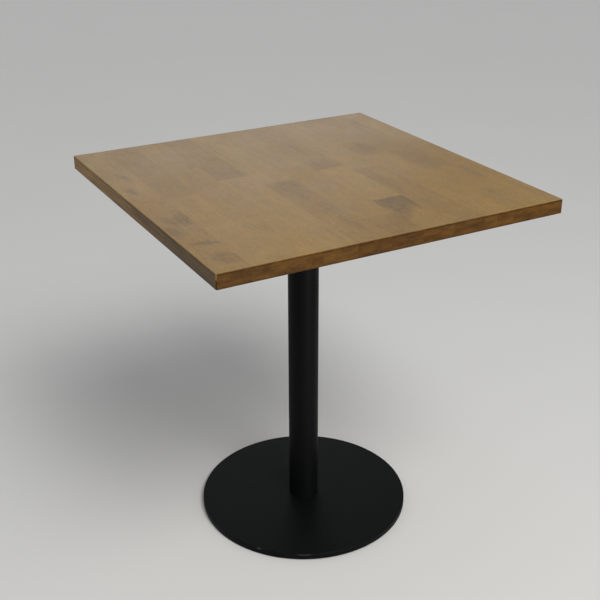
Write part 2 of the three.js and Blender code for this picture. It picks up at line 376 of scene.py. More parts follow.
class Shader:
    """One material and the nodes that feed its Principled shader. Coordinates are in millimetres."""

    def __init__(self, name):
        self.material = bpy.data.materials.new(name)
        self.material.use_nodes = True
        self.tree = self.material.node_tree
        self.tree.nodes.clear()
        output = self.tree.nodes.new("ShaderNodeOutputMaterial")
        self.surface = self.tree.nodes.new("ShaderNodeBsdfPrincipled")
        self.tree.links.new(self.surface.outputs["BSDF"], output.inputs["Surface"])
        coordinates = self.tree.nodes.new("ShaderNodeTexCoord").outputs["Object"]
        self.place = self.vector("SCALE", coordinates, scale=1 / MM)

    def feed(self, socket, value):
        if isinstance(value, bpy.types.NodeSocket):
            self.tree.links.new(value, socket)
        elif value is not None:
            socket.default_value = value

    def set(self, **values):
        """Feeds the Principled shader's inputs, named with underscores."""
        for name, value in values.items():
            self.feed(self.surface.inputs[name.replace("_", " ")], value)

    def math(self, operation, a, b=None, c=None):
        node = self.tree.nodes.new("ShaderNodeMath")
        node.operation = operation
        for socket, value in zip(node.inputs, (a, b, c)):
            self.feed(socket, value)
        return node.outputs[0]

    def add(self, *terms):
        total = terms[0]
        for term in terms[1:]:
            total = self.math("ADD", total, term)
        return total

    def times(self, *factors):
        product = factors[0]
        for factor in factors[1:]:
            product = self.math("MULTIPLY", product, factor)
        return product

    def vector(self, operation, a, b=None, scale=None):
        node = self.tree.nodes.new("ShaderNodeVectorMath")
        node.operation = operation
        self.feed(node.inputs[0], a)
        self.feed(node.inputs[1], b)
        if operation == "SCALE":
            self.feed(node.inputs["Scale"], scale)
        return node.outputs["Value" if operation == "LENGTH" else "Vector"]

    def split(self, vector):
        node = self.tree.nodes.new("ShaderNodeSeparateXYZ")
        self.feed(node.inputs[0], vector)
        return node.outputs

    def turned(self, vector, degrees):
        """Turns a point about the origin, by an angle about each axis."""
        node = self.tree.nodes.new("ShaderNodeMapping")
        self.feed(node.inputs["Vector"], vector)
        node.inputs["Rotation"].default_value = [math.radians(angle) for angle in degrees]
        return node.outputs["Vector"]

    def noise(self, vector, size, stretch=(1, 1, 1), *, detail, roughness=0.5, warp=0.0):
        """Noise from 0 to 1 whose features are about size millimetres, longer along a stretched axis."""
        node = self.tree.nodes.new("ShaderNodeTexNoise")
        shares = tuple(1 / (size * share) for share in stretch)
        self.feed(node.inputs["Vector"], self.vector("MULTIPLY", vector, shares))
        node.inputs["Scale"].default_value = 1
        node.inputs["Detail"].default_value = detail
        node.inputs["Roughness"].default_value = roughness
        node.inputs["Distortion"].default_value = warp
        return node.outputs["Fac"]

    def between(self, value, low, high, to_low=0.0, to_high=1.0):
        """Maps low..high smoothly to to_low..to_high."""
        node = self.tree.nodes.new("ShaderNodeMapRange")
        node.interpolation_type = "SMOOTHSTEP"
        for socket, number in zip(node.inputs, (value, low, high, to_low, to_high)):
            self.feed(socket, number)
        return node.outputs[0]

    def centred(self, value, contrast):
        """Turns a 0..1 value into one about 0, scaled by contrast."""
        return self.math("MULTIPLY_ADD", value, contrast, -contrast / 2)

    def ramp(self, value, stops):
        node = self.tree.nodes.new("ShaderNodeValToRGB")
        self.feed(node.inputs["Fac"], value)
        elements = node.color_ramp.elements
        while len(elements) < len(stops):
            elements.new(1.0)
        for element, (position, colour) in zip(elements, stops):
            element.position = position
            element.color = (*colour, 1.0)
        return node.outputs["Color"]

    def mix(self, factor, a, b, blend="MIX"):
        node = self.tree.nodes.new("ShaderNodeMix")
        node.data_type = "RGBA"
        node.blend_type = blend
        self.feed(node.inputs[0], factor)
        for socket, colour in ((node.inputs[6], a), (node.inputs[7], b)):
            self.feed(socket, (*colour, 1.0) if isinstance(colour, tuple) else colour)
        return node.outputs[2]

    def bump(self, height, depth, strength):
        """A bump whose height of 0..1 stands for depth millimetres."""
        node = self.tree.nodes.new("ShaderNodeBump")
        node.inputs["Strength"].default_value = strength
        node.inputs["Distance"].default_value = depth * MM
        self.feed(node.inputs["Height"], height)
        return node.outputs["Normal"]

    def facing(self):
        """How far the surface faces along each axis of the frame, from 0 to 1."""
        normal = self.tree.nodes.new("ShaderNodeNewGeometry").outputs["Normal"]
        return self.split(self.vector("ABSOLUTE", normal))


# ---- wood ----

# Stained colours of the face grain, from the darkest streak to the palest.
WOOD_STOPS = (
    (0.0, (0.126, 0.067, 0.014)),
    (0.35, (0.218, 0.121, 0.027)),
    (0.6, (0.297, 0.172, 0.040)),
    (1.0, (0.403, 0.250, 0.068)),
)
COOL_TINT = (0.90, 0.93, 1.0)
WARM_TINT = (1.0, 0.97, 0.78)
MARK_TINT = (0.58, 0.55, 0.62)
# Painted shade on the long-grain sides of the top: the plain shade, and a deeper shade where the streaks
# of the grain run.
SIDE_PAINTED_SHADE = (0.72, 0.66, 0.60)
SIDE_SHADE_STREAK = (0.36, 0.33, 0.29)
# Painted light along the long-grain sides: darker at the front, with a painted sheen that grows towards
# the back.
SIDE_PAINTED_LIGHT_FRONT = 0.74
SIDE_PAINTED_LIGHT_BACK = 1.65
END_GRAIN_TINT = (0.54, 0.42, 0.30)
END_GRAIN_DARK = (0.27, 0.19, 0.13)
EDGE_LINE = (0.45, 0.40, 0.34)
PORE_COLOUR = (0.045, 0.023, 0.008)
WORN_WOOD = (0.30, 0.19, 0.08)
WORN_CORNER_WIDTH = 3
WORN_CORNER_HEIGHT = 11

# How much lighter or darker than the average each block is, from the back block to the front one.
BLOCK_TONES = (
    (0.03, -0.03),
    (-0.07, 0.05),
    (0.0, 0.04),
    (-0.08, 0.07),
    (0.06, -0.06),
    (0.0, -0.08),
    (-0.06, 0.08, 0.0),
    (0.03, -0.04),
    (-0.03, 0.05),
    (-0.06, 0.02),
    (0.04, 0.05),
)

# Dark figure in the wood: stave, block, distance from the left and back edges, half width, half length,
# degrees turned, and strength. A mark stays within its own block.
MARKS = (
    (1, 1, 42, 190, 7, 36, -12, 0.8),
    (1, 1, 26, 276, 12, 26, -14, 0.75),
    (1, 2, 57, 440, 15, 42, 4, 0.55),
    (1, 2, 36, 458, 24, 44, -52, 0.55),
    (1, 2, 14, 504, 14, 32, -16, 0.7),
    (1, 2, 40, 577, 10, 32, -72, 0.85),
    (1, 2, 46, 646, 26, 32, -38, 0.65),
    (2, 1, 72, 178, 7, 44, 0, 0.27),
    (3, 1, 186, 175, 9, 26, 4, 0.3),
    (3, 2, 190, 430, 3, 90, 0, 0.3),
    (3, 2, 158, 555, 12, 40, 0, 0.24),
    (4, 1, 206, 240, 14, 44, -16, 0.3),
    (4, 1, 244, 262, 14, 36, 0, 0.3),
    (4, 2, 248, 640, 9, 46, 0, 0.24),
    (5, 1, 268, 120, 3, 130, 0, 0.42),
    (5, 2, 296, 402, 38, 62, 0, 0.39),
    (5, 2, 304, 560, 14, 110, 0, 0.36),
    (6, 1, 330, 250, 8, 60, 0, 0.18),
    (6, 2, 356, 655, 40, 50, 0, 0.24),
    (7, 1, 424, 180, 6, 70, 0, 0.3),
    (7, 1, 416, 310, 34, 46, 0, 0.36),
    (7, 3, 421, 545, 90, 72, 0, 1.0),
    (7, 3, 404, 620, 20, 34, 20, 0.7),
    (8, 2, 474, 430, 20, 80, 0, 0.3),
    (8, 2, 472, 590, 14, 26, 0, 0.24),
    (9, 1, 552, 250, 34, 54, 0, 0.36),
    (9, 1, 524, 260, 8, 60, 0, 0.21),
    (10, 1, 612, 370, 30, 70, 0, 0.27),
    (11, 2, 654, 495, 8, 56, 0, 0.36),
    (11, 2, 680, 560, 12, 60, 0, 0.18),
)


def mark_on(shader, point, mark):
    """How far a dark mark darkens the point, from 0 to its strength."""
    _, _, across, along, half_width, half_length, degrees, strength = mark
    centre = (TOP_LOW.x + across, TOP_HIGH.y - along, 0)
    local = shader.vector("SUBTRACT", point, centre)
    turned_back = shader.turned(local, degrees=(0, 0, degrees))
    shares = (1 / half_width, 1 / half_length, 0)
    distance = shader.vector("LENGTH", shader.vector("MULTIPLY", turned_back, shares))
    return shader.between(distance, 1.15, 0.45, 0.0, strength)


def wood_material(stave, block):
    """One block's wood. Its rings are cylinders about a pith that runs nearly along Y, below or beside the
    block, so that the same rings draw long lines on its faces and arcs on its ends."""
    chance = random.Random(100 * stave + block)
    centre = node_centre(f"stave_{stave}_block_{block}")
    shader = Shader(f"wood_{stave}_{block}")
    tilt = (chance.uniform(-1.6, 1.6), 0, chance.uniform(-2.4, 2.4))
    local = shader.turned(shader.vector("SUBTRACT", shader.place, tuple(centre)), degrees=tilt)
    own_place = shader.vector("ADD", local, tuple(chance.uniform(-900, 900) for _ in range(3)))

    wander = shader.centred(shader.noise(own_place, 70, (1, 5, 1), detail=3), 34)
    pith = (chance.uniform(-45, 45), 0, chance.choice((-1, 1)) * chance.uniform(18, 70))
    from_pith = shader.vector("MULTIPLY", shader.vector("SUBTRACT", local, pith), (1, 0, 1))
    ring_radius = shader.add(shader.vector("LENGTH", from_pith), wander)
    ring_phase = shader.math("FRACT", shader.times(ring_radius, 1 / chance.uniform(6, 11)))
    rings = shader.between(ring_phase, 0.2, 1.0)

    fibres = shader.noise(own_place, 1.4, (1, 22, 1), detail=5, roughness=0.7)
    streaks = shader.noise(own_place, 9, (1, 11, 1), detail=4, roughness=0.62, warp=0.8)
    blotches = shader.noise(own_place, 26, (1, 1.7, 1), detail=5, roughness=0.62, warp=0.5)
    mottle = shader.noise(own_place, 6, (1, 1.8, 1), detail=4, roughness=0.7)
    pores = shader.between(shader.noise(own_place, 0.55, (1, 13, 1), detail=1), 0.60, 0.66)

    value = shader.add(
        0.56 + BLOCK_TONES[stave - 1][block - 1],
        shader.centred(streaks, 0.26),
        shader.centred(blotches, 0.34),
        shader.centred(mottle, 0.40),
        shader.centred(fibres, 0.34),
        shader.times(rings, -0.045),
    )
    warmth = shader.noise(own_place, 44, (1, 1.6, 1), detail=4, roughness=0.6, warp=0.6)
    hue = shader.ramp(warmth, ((0.36, COOL_TINT), (0.64, WARM_TINT)))
    colour = shader.mix(1.0, shader.ramp(value, WOOD_STOPS), hue, "MULTIPLY")

    marks = [mark for mark in MARKS if mark[:2] == (stave, block)]
    if marks:
        ragged = shader.vector("ADD", shader.place, uneven(shader, own_place))
        strengths = [mark_on(shader, shader.vector("MULTIPLY", ragged, (1, 1, 0)), mark) for mark in marks]
        uneven_strength = shader.between(shader.add(streaks, mottle), 0.6, 1.3, 1.25, 0.55)
        inside = shader.times(shader.math("MINIMUM", shader.add(*strengths), 1.0), uneven_strength)
        colour = shader.mix(inside, colour, shader.mix(1.0, colour, MARK_TINT, "MULTIPLY"))
    colour = shader.mix(shader.times(pores, 0.6), colour, PORE_COLOUR)

    facing = shader.facing()
    side = shader.between(facing[X], 0.45, 0.95)
    layers = shader.noise(own_place, 2.6, (1, 70, 1), detail=3, roughness=0.6, warp=0.3)
    # The long-grain sides are darkened all over with painted shade, deeper along the streaks of the grain.
    side_shade_and_streaks = shader.mix(shader.between(layers, 0.42, 0.62), SIDE_PAINTED_SHADE, SIDE_SHADE_STREAK)
    # A painted light gradient on the sides: dark at the front, and a painted sheen towards the back.
    along = shader.split(shader.place)[Y]
    side_painted_light = shader.between(along, TOP_LOW.y, TOP_HIGH.y, SIDE_PAINTED_LIGHT_FRONT, SIDE_PAINTED_LIGHT_BACK)
    side_shade_and_streaks = shader.vector("SCALE", side_shade_and_streaks, scale=side_painted_light)
    colour = shader.mix(side, colour, shader.mix(1.0, colour, side_shade_and_streaks, "MULTIPLY"))
    end = shader.between(facing[Y], 0.45, 0.85)
    patches = shader.noise(own_place, 11, (4, 1, 0.9), detail=5, roughness=0.65)
    speckle = shader.noise(own_place, 1.0, detail=2)
    darkness = shader.between(shader.add(patches, shader.times(speckle, 0.3)), 0.48, 0.86)
    end_tint = shader.mix(darkness, END_GRAIN_TINT, END_GRAIN_DARK)
    colour = shader.mix(end, colour, shader.mix(1.0, colour, end_tint, "MULTIPLY"))
    colour = shader.mix(edge_line(shader), colour, shader.mix(1.0, colour, EDGE_LINE, "MULTIPLY"))
    colour = shader.mix(worn_corner(shader), colour, WORN_WOOD)

    dull = shader.math("MAXIMUM", end, shader.times(side, 0.5))
    smudges = shader.noise(shader.place, 90, detail=3)
    roughness = shader.add(
        0.34, shader.centred(smudges, 0.14), shader.centred(fibres, 0.08), shader.times(dull, 0.3)
    )
    relief = shader.add(shader.times(fibres, 0.5), shader.times(pores, -0.8), shader.times(streaks, 0.3))
    shader.set(
        Base_Color=colour,
        Roughness=roughness,
        Normal=shader.bump(relief, 0.05, strength=0.5),
        Specular_IOR_Level=shader.between(dull, 0.0, 1.0, 0.48, 0.08),
    )
    return shader.material


def edge_line(shader):
    """Darker thin uneven lines where the sides meet the upper eased edges, darker towards the bottom of
    the sides, and at the upright corners, from 0 to 1.
    """
    height = shader.split(shader.place)[Z]
    facing = shader.facing()
    upright = shader.between(facing[Z], 0.75, 0.35)
    top_line = shader.times(
        shader.between(height, TOP_HIGH.z - 5, TOP_HIGH.z - 2.4),
        shader.between(height, TOP_HIGH.z - 1.0, TOP_HIGH.z - 2.0),
    )
    bottom_line = shader.between(height, TOP_LOW.z + 4, TOP_LOW.z + 0.5)
    corner_line = shader.math("MULTIPLY", facing[X], facing[Y])
    lines = shader.add(top_line, bottom_line, shader.between(corner_line, 0.25, 0.45))
    patchiness = shader.between(shader.noise(shader.place, 14, detail=4, roughness=0.65), 0.35, 0.6, 0.3, 0.95)
    return shader.math("MINIMUM", shader.times(lines, upright, patchiness), 1.0)


def worn_corner(shader):
    """The stain rubbed off the front left corner of the top, just below its upper face."""
    corner = (TOP_LOW.x, TOP_LOW.y, TOP_HIGH.z - WORN_CORNER_HEIGHT / 2)
    offset = shader.vector("SUBTRACT", shader.place, corner)
    shares = (1 / WORN_CORNER_WIDTH, 1 / WORN_CORNER_WIDTH, 1 / WORN_CORNER_HEIGHT)
    distance = shader.vector("LENGTH", shader.vector("MULTIPLY", offset, shares))
    ragged = shader.add(distance, shader.centred(shader.noise(shader.place, 3, detail=3), 0.6))
    return shader.between(ragged, 1.0, 0.4, 0.0, 0.8)


def uneven(shader, vector):
    """A random offset of a few millimetres about 0, to make the edges of the dark marks ragged."""
    node = shader.tree.nodes.new("ShaderNodeTexNoise")
    shader.feed(node.inputs["Vector"], shader.vector("MULTIPLY", vector, (1 / 18, 1 / 26, 1 / 18)))
    node.inputs["Scale"].default_value = 1
    node.inputs["Detail"].default_value = 5
    node.inputs["Roughness"].default_value = 0.65
    offset = shader.vector("SUBTRACT", node.outputs["Color"], (0.5, 0.5, 0.5))
    return shader.vector("MULTIPLY", offset, (16, 34, 16))


def on_perimeter(point):
    """The sides of the whole top that a point of it lies on."""
    sides = []
    for axis in (X, Y):
        if abs(point[axis] - TOP_LOW[axis]) < NEAR:
            sides.append((axis, "low"))
        if abs(point[axis] - TOP_HIGH[axis]) < NEAR:
            sides.append((axis, "high"))
    return sides


def block_mesh(name, low, high):
    """A block of the top. Its edges are eased only where they are edges of the whole top."""
    bm = bmesh.new()
    bmesh.ops.create_cube(bm, size=1)
    for vertex in bm.verts:
        for axis in range(3):
            vertex.co[axis] = high[axis] if vertex.co[axis] > 0 else low[axis]
    uprights = [
        edge
        for edge in bm.edges
        if abs(edge.verts[0].co.z - edge.verts[1].co.z) > 1 and len(on_perimeter(edge.verts[0].co)) == 2
    ]
    if uprights:
        bevel_edges(bm, uprights, TOP_CORNER_RADIUS, 6)
    rims = [edge for edge in bm.edges if is_rim(edge)]
    if rims:
        bevel_edges(bm, rims, TOP_ARRIS_RADIUS, 5)
    return object_of(name, bm)


def is_rim(edge):
    """True for an edge between the upper or lower face and the outside of the whole top."""
    if abs(edge.verts[0].co.z - edge.verts[1].co.z) > NEAR:
        return False
    middle = (edge.verts[0].co + edge.verts[1].co) / 2
    in_corner = all(abs(middle[axis]) > TOP_HIGH[axis] - TOP_CORNER_RADIUS for axis in (X, Y))
    return in_corner or bool(on_perimeter(middle))


def make_top():
    screws = [node_centre(name) for name in nodes_named("wood_screw_")]
    screw_tip = node_box("wood_screw_1")[1].z
    for node in STAVES:
        _, stave, _, block = node.split("_")
        low, high = node_box(node)
        obj = block_mesh(f"wood_{stave}_{block}", low, high)
        tools = []
        for i, screw in enumerate(screws):
            if low.x < screw.x < high.x and low.y < screw.y < high.y:
                outline = regular_outline(24, WOOD_SCREW_HOLE_RADIUS)
                pilot = prism(f"pilot_{i}", outline, low.z - 1, screw_tip + 1)
                tools.append(place(pilot, screw.x, screw.y))
        if tools:
            cut(obj, tools)
        stand_for(shade(obj), node, "table", wood_material(int(stave), int(block)))


# ---- painted steel ----


COAT_BLACK = (0.0032, 0.0037, 0.0037)
COAT_DUSTY = (0.018, 0.019, 0.0185)
COAT_WORN = (0.075, 0.075, 0.075)

# Where the coat is worn on the disc's upper rim: x, y, half length, and strength.
SCUFFS = ((-181, -134, 7, 1.0), (-108, -197, 20, 0.35))
SCUFF_FLATNESS = 5


def powder_coat():
    """Satin black powder coat, with fine orange peel, dust, faint scuffs and chips on the disc's rim."""
    shader = Shader("powder_coat")
    peel = shader.noise(shader.place, 0.9, detail=2, roughness=0.6)
    waves = shader.noise(shader.place, 4, detail=1)
    cloud = shader.noise(shader.place, 60, detail=4, roughness=0.6)
    dust = shader.between(shader.noise(shader.place, 2.2, detail=5, roughness=0.75), 0.58, 0.78)
    height = shader.split(shader.place)[Z]
    up = shader.between(height, DISC_HIGH.z - 1, DISC_HIGH.z + 0.2)
    low_down = shader.between(height, DISC_HIGH.z + 16, DISC_HIGH.z - 4)
    flat = shader.times(dust, shader.between(cloud, 0.35, 0.65), shader.math("MINIMUM", up, low_down))
    colour = shader.mix(shader.times(flat, 0.6), COAT_BLACK, COAT_DUSTY)

    plan = shader.vector("MULTIPLY", shader.place, (1, 1, 0))
    rim = shader.between(shader.vector("LENGTH", plan), DISC_RADIUS - 1.6, DISC_RADIUS - 0.4)
    rim_low = shader.times(rim, shader.between(height, DISC_HIGH.z + 6, DISC_HIGH.z + 1))
    chip_noise = shader.noise(shader.place, 5, detail=4, roughness=0.7)
    chips = shader.between(chip_noise, 0.66, 0.70)
    worn = [chips]
    for x, y, half_length, strength in SCUFFS:
        offset = shader.vector("SUBTRACT", shader.place, (x, y, DISC_HIGH.z - DISC_EDGE_ROUND / 2))
        flattened = shader.vector("MULTIPLY", offset, (1, 1, SCUFF_FLATNESS))
        distance = shader.add(shader.vector("LENGTH", flattened), shader.centred(chip_noise, 14))
        worn.append(shader.between(distance, half_length, 0.4 * half_length, 0.0, strength))
    bare = shader.times(rim_low, shader.math("MINIMUM", shader.add(*worn), 1.0))
    colour = shader.mix(bare, colour, COAT_WORN)

    roughness = shader.add(0.48, shader.centred(cloud, 0.12), shader.times(flat, 0.25))
    relief = shader.add(shader.times(peel, 0.6), shader.times(waves, 0.6))
    shader.set(
        Base_Color=colour,
        Roughness=roughness,
        Normal=shader.bump(relief, 0.09, strength=0.9),
        Specular_IOR_Level=0.065,
    )
    return shader.material


def zinc_steel():
    """Bright zinc plating, slightly blue, with fine turning marks and dull patches."""
    shader = Shader("zinc_steel")
    patches = shader.noise(shader.place, 6, detail=4, roughness=0.6)
    lines = shader.noise(shader.place, 0.25, (8, 8, 1), detail=2)
    colour = shader.ramp(patches, ((0.3, (0.36, 0.37, 0.38)), (0.7, (0.58, 0.59, 0.61))))
    shader.set(
        Base_Color=colour,
        Metallic=1.0,
        Roughness=shader.add(0.30, shader.centred(patches, 0.25), shader.centred(lines, 0.1)),
        Normal=shader.bump(lines, 0.01, strength=0.4),
    )
    return shader.material


def plain_steel():
    """Turned steel of the plugs, darker and oily."""
    shader = Shader("plain_steel")
    patches = shader.noise(shader.place, 12, detail=4, roughness=0.6)
    lines = shader.noise(shader.place, 0.4, (12, 12, 1), detail=2)
    shader.set(
        Base_Color=shader.ramp(patches, ((0.3, (0.20, 0.20, 0.21)), (0.7, (0.36, 0.36, 0.37)))),
        Metallic=1.0,
        Roughness=shader.add(0.38, shader.centred(patches, 0.2)),
        Normal=shader.bump(lines, 0.02, strength=0.4),
    )
    return shader.material


def nylon():
    """Black moulded nylon with a fine eroded finish and scuffed edges."""
    shader = Shader("nylon")
    grain = shader.noise(shader.place, 0.5, detail=3)
    scuffs = shader.between(shader.noise(shader.place, 3, (3, 1, 1), detail=5, roughness=0.7), 0.5, 0.8)
    shader.set(
        Base_Color=shader.mix(scuffs, (0.018, 0.018, 0.020), (0.060, 0.058, 0.055)),
        Roughness=shader.add(0.55, shader.times(scuffs, 0.2), shader.centred(grain, 0.1)),
        Normal=shader.bump(grain, 0.04, strength=0.5),
        IOR=1.5,
    )
    return shader.material


# ---- base and column ----


def make_disc(material):
    holes = []
    for node in nodes_named("foot_screw_"):
        profile = [
            (COUNTERSINK_RADIUS, DISC_LOW.z),
            (M8_HOLE_RADIUS, DISC_LOW.z + COUNTERSINK_DEPTH),
            (M8_HOLE_RADIUS, DISC_HIGH.z),
        ]
        holes.append(circles(profile, 48, node_centre(node)))
    pocket_top = DISC_LOW.z + GLIDE_POCKET_DEPTH
    for node in nodes_named("glide_stud_"):
        profile = [
            (GLIDE_POCKET_RADIUS + HOLE_CHAMFER, DISC_LOW.z),
            (GLIDE_POCKET_RADIUS, DISC_LOW.z + HOLE_CHAMFER),
            (GLIDE_POCKET_RADIUS, pocket_top),
            (M8_HOLE_RADIUS, pocket_top),
            (M8_HOLE_RADIUS, node_box(node)[1].z + STUD_END_ROOM),
        ]
        holes.append(circles(profile, 64, node_centre(node)))
    side = rounded_side(DISC_RADIUS, DISC_LOW.z, DISC_HIGH.z, DISC_EDGE_ROUND)
    disc = plate("disc", circles(side, 256), holes)
    stand_for(shade_plate(disc), "base_disc", "table", material)


def make_column(material):
    inner = COLUMN_RADIUS - COLUMN_WALL
    profile = rounded(
        [
            (inner, COLUMN_LOW.z, 0.2),
            (COLUMN_RADIUS, COLUMN_LOW.z, 0.5),
            (COLUMN_RADIUS, COLUMN_HIGH.z, 0.5),
            (inner, COLUMN_HIGH.z, 0.2),
        ]
    )
    column = lathe("column", [*profile, profile[0]], 128)
    stand_for(shade(column), "column_tube", "table", material)


def make_plugs(material):
    for node, screws in (("foot_plug", "foot_screw_"), ("head_plug", "head_screw_")):
        low, high = node_box(node)
        bore = [(M8_HOLE_RADIUS, low.z), (M8_HOLE_RADIUS, high.z)]
        holes = [circles(bore, 32, node_centre(screw)) for screw in nodes_named(screws)]
        side = rounded_side(PLUG_RADIUS, low.z, high.z, PLUG_EDGE_ROUND)
        plug = plate(f"{node}_turned", circles(side, 96), holes)
        stand_for(shade_plate(plug), node, "table", material)


# ---- spider plate ----


def spider_outline(grow):
    """A cross with round arm ends and filleted inner corners, its arms towards the top's corners. It can
    grow outwards by a distance all round."""
    tip = SPIDER_REACH - SPIDER_ARM_HALF_WIDTH
    half_width = SPIDER_ARM_HALF_WIDTH + grow
    fillet_centre = SPIDER_ARM_HALF_WIDTH + SPIDER_FILLET_RADIUS
    fillet_radius = SPIDER_FILLET_RADIUS - grow
    steps = 16
    points = []
    for arm in range(4):
        turn = TURN * (arm + 0.5) / 4
        for k in range(steps + 1):
            angle = math.pi * (k / steps - 0.5)
            points.append((tip + half_width * math.cos(angle), half_width * math.sin(angle), turn))
        for k in range(steps + 1):
            angle = -math.pi / 2 * (1 + k / steps)
            across = fillet_centre + fillet_radius * math.cos(angle)
            along = fillet_centre + fillet_radius * math.sin(angle)
            points.append((across, along, turn))
    return [
        (x * math.cos(turn) - y * math.sin(turn), x * math.sin(turn) + y * math.cos(turn))
        for x, y, turn in points
    ]


def make_spider(material):
    low, high = SPIDER_LOW.z, SPIDER_HIGH.z
    skin = []
    for reach, height in rounded_side(SPIDER_REACH, low, high, SPIDER_EDGE_ROUND):
        skin.append([(x, y, height) for x, y in spider_outline(reach - SPIDER_REACH)])
    countersunk = [
        (M8_HOLE_RADIUS, low),
        (M8_HOLE_RADIUS, high - COUNTERSINK_DEPTH),
        (COUNTERSINK_RADIUS, high),
    ]
    bore = [(WOOD_SCREW_HOLE_RADIUS, low), (WOOD_SCREW_HOLE_RADIUS, high)]
    holes = [circles(countersunk, 48, node_centre(node)) for node in nodes_named("head_screw_")]
    holes += [circles(bore, 32, node_centre(node)) for node in nodes_named("wood_screw_")]
    spider = plate("spider", skin, holes)
    stand_for(shade_plate(spider), "top_spider", "table", material)


# ---- fasteners and glides ----


def threaded(low, high, radius, pitch, depth):
    """Points up a threaded shank, and the shape that cuts a right-hand thread in them."""
    steps_per_turn = 8
    count = round((high - low) / pitch * steps_per_turn)
    points = [(radius, low + (high - low) * i / count) for i in range(count + 1)]

    def shape(own_radius, height, angle):
        if own_radius > radius or not low < height < high:
            return own_radius
        phase = (height / pitch - angle / TURN) % 1
        flank = min(1, max(0, abs(2 * phase - 1) * 1.3 - 0.15))
        end = min(1, (height - low) / pitch, (high - height) / pitch)
        return own_radius - depth * flank * end

    return points, shape


def machine_screw(name, length):
    """A countersunk M8 socket screw, its head's face at height 0 and its shank pointing down."""
    cone = M8_HEAD_RADIUS - M8_MAJOR_RADIUS
    start = -length + M8_END_CHAMFER
    shank, shape = threaded(start, -cone - 1, M8_MAJOR_RADIUS, M8_PITCH, M8_THREAD_DEPTH)
    head = rounded(
        [
            (M8_MAJOR_RADIUS, -cone, 0),
            (M8_HEAD_RADIUS, -M8_HEAD_EDGE, M8_HEAD_ROUND),
            (M8_HEAD_RADIUS, 0, M8_HEAD_ROUND),
            (0, 0, 0),
        ]
    )
    profile = [(0, -length), (M8_MAJOR_RADIUS - M8_END_CHAMFER, -length), *shank, *head]
    screw = lathe(name, profile, SCREW_SEGMENTS, shape)
    return cut(screw, [hexagon(f"socket_{name}", M8_SOCKET_ACROSS_FLATS, -M8_SOCKET_DEPTH, 1)])


def wood_screw(name, length):
    """A pan-head wood screw, the underside of its head at height 0 and its point up."""
    straight_end = length - WOOD_SCREW_POINT
    crown_radius = WOOD_SCREW_HEAD_RADIUS - WOOD_SCREW_HEAD_CROWN
    shank, shape = threaded(
        WOOD_SCREW_PLAIN_SHANK, straight_end, WOOD_SCREW_RADIUS, WOOD_SCREW_PITCH, WOOD_SCREW_THREAD_DEPTH
    )
    head = rounded(
        [
            (0, -WOOD_SCREW_HEAD_HEIGHT, 0),
            (crown_radius, -WOOD_SCREW_HEAD_HEIGHT, WOOD_SCREW_HEAD_ROUND),
            (WOOD_SCREW_HEAD_RADIUS, 0, WOOD_SCREW_SMALL_ROUND),
            (WOOD_SCREW_RADIUS, 0, WOOD_SCREW_SMALL_ROUND),
        ]
    )
    tip = [(WOOD_SCREW_TIP_RADIUS, length - WOOD_SCREW_TIP_LENGTH), (0, length)]
    screw = lathe(name, [*head, *shank, *tip], SCREW_SEGMENTS, shape)
    deep = -WOOD_SCREW_HEAD_HEIGHT + RECESS_DEPTH
    slots = ((RECESS_HALF_LENGTH, RECESS_HALF_WIDTH), (RECESS_HALF_WIDTH, RECESS_HALF_LENGTH))
    tools = []
    for i, (half_x, half_y) in enumerate(slots):
        outline = [(-half_x, -half_y), (half_x, -half_y), (half_x, half_y), (-half_x, half_y)]
        tools.append(prism(f"recess_{name}_{i}", outline, -WOOD_SCREW_HEAD_HEIGHT - 1, deep))
    return cut(screw, tools)


def make_screws(material):
    foot = machine_screw("foot_screw_pattern", node_size("foot_screw_1"))
    head = machine_screw("head_screw_pattern", node_size("head_screw_1"))
    top = wood_screw("wood_screw_pattern", node_size("wood_screw_1") - WOOD_SCREW_HEAD_HEIGHT)
    for start, pattern, seat, upside_down in (
        ("foot_screw_", foot, node_box("foot_screw_1")[0].z, True),
        ("head_screw_", head, node_box("head_screw_1")[1].z, False),
        ("wood_screw_", top, SPIDER_LOW.z, False),
    ):
        for node in nodes_named(start):
            centre = node_centre(node)
            screw = place(copy_of(pattern, f"{node}_turned"), centre.x, centre.y, seat, upside_down)
            stand_for(shade(screw), node, "table", material)
        remove(pattern)


def node_size(node):
    low, high = node_box(node)
    return high.z - low.z


def glide_pad(name, low, high):
    """A nylon pad with a ribbed side for turning it by hand, and a cup that holds the stud's flange."""
    flange_low = node_box("glide_stud_1")[0].z
    cup_low = flange_low - PAD_CUP_ROOM
    cup_high = flange_low + STUD_FLANGE_THICKNESS + PAD_CUP_ROOM
    ribs_low = low + 1.4
    ribs_high = high - 1.1
    profile = rounded(
        [
            (PAD_HOLE_RADIUS, low, 0.4),
            (PAD_RADIUS, low, 0.8),
            (PAD_RADIUS, ribs_low, 0),
            (PAD_RADIUS, ribs_high, 0),
            (PAD_RADIUS, high, 0.5),
            (PAD_NECK_RADIUS, high, 0.3),
            (PAD_NECK_RADIUS, cup_high, 0),
            (PAD_CUP_RADIUS, cup_high, 0),
            (PAD_CUP_RADIUS, cup_low, 0),
            (PAD_HOLE_RADIUS, cup_low, 0),
        ]
    )

    def ribs(radius, height, angle):
        on_side = radius > PAD_RADIUS - NEAR and ribs_low - NEAR < height < ribs_high + NEAR
        return radius - (PAD_RIB_DEPTH * (0.5 + 0.5 * math.cos(PAD_RIBS * angle)) if on_side else 0)

    segments_per_rib = 8
    return lathe(name, [*profile, profile[0]], PAD_RIBS * segments_per_rib, ribs)


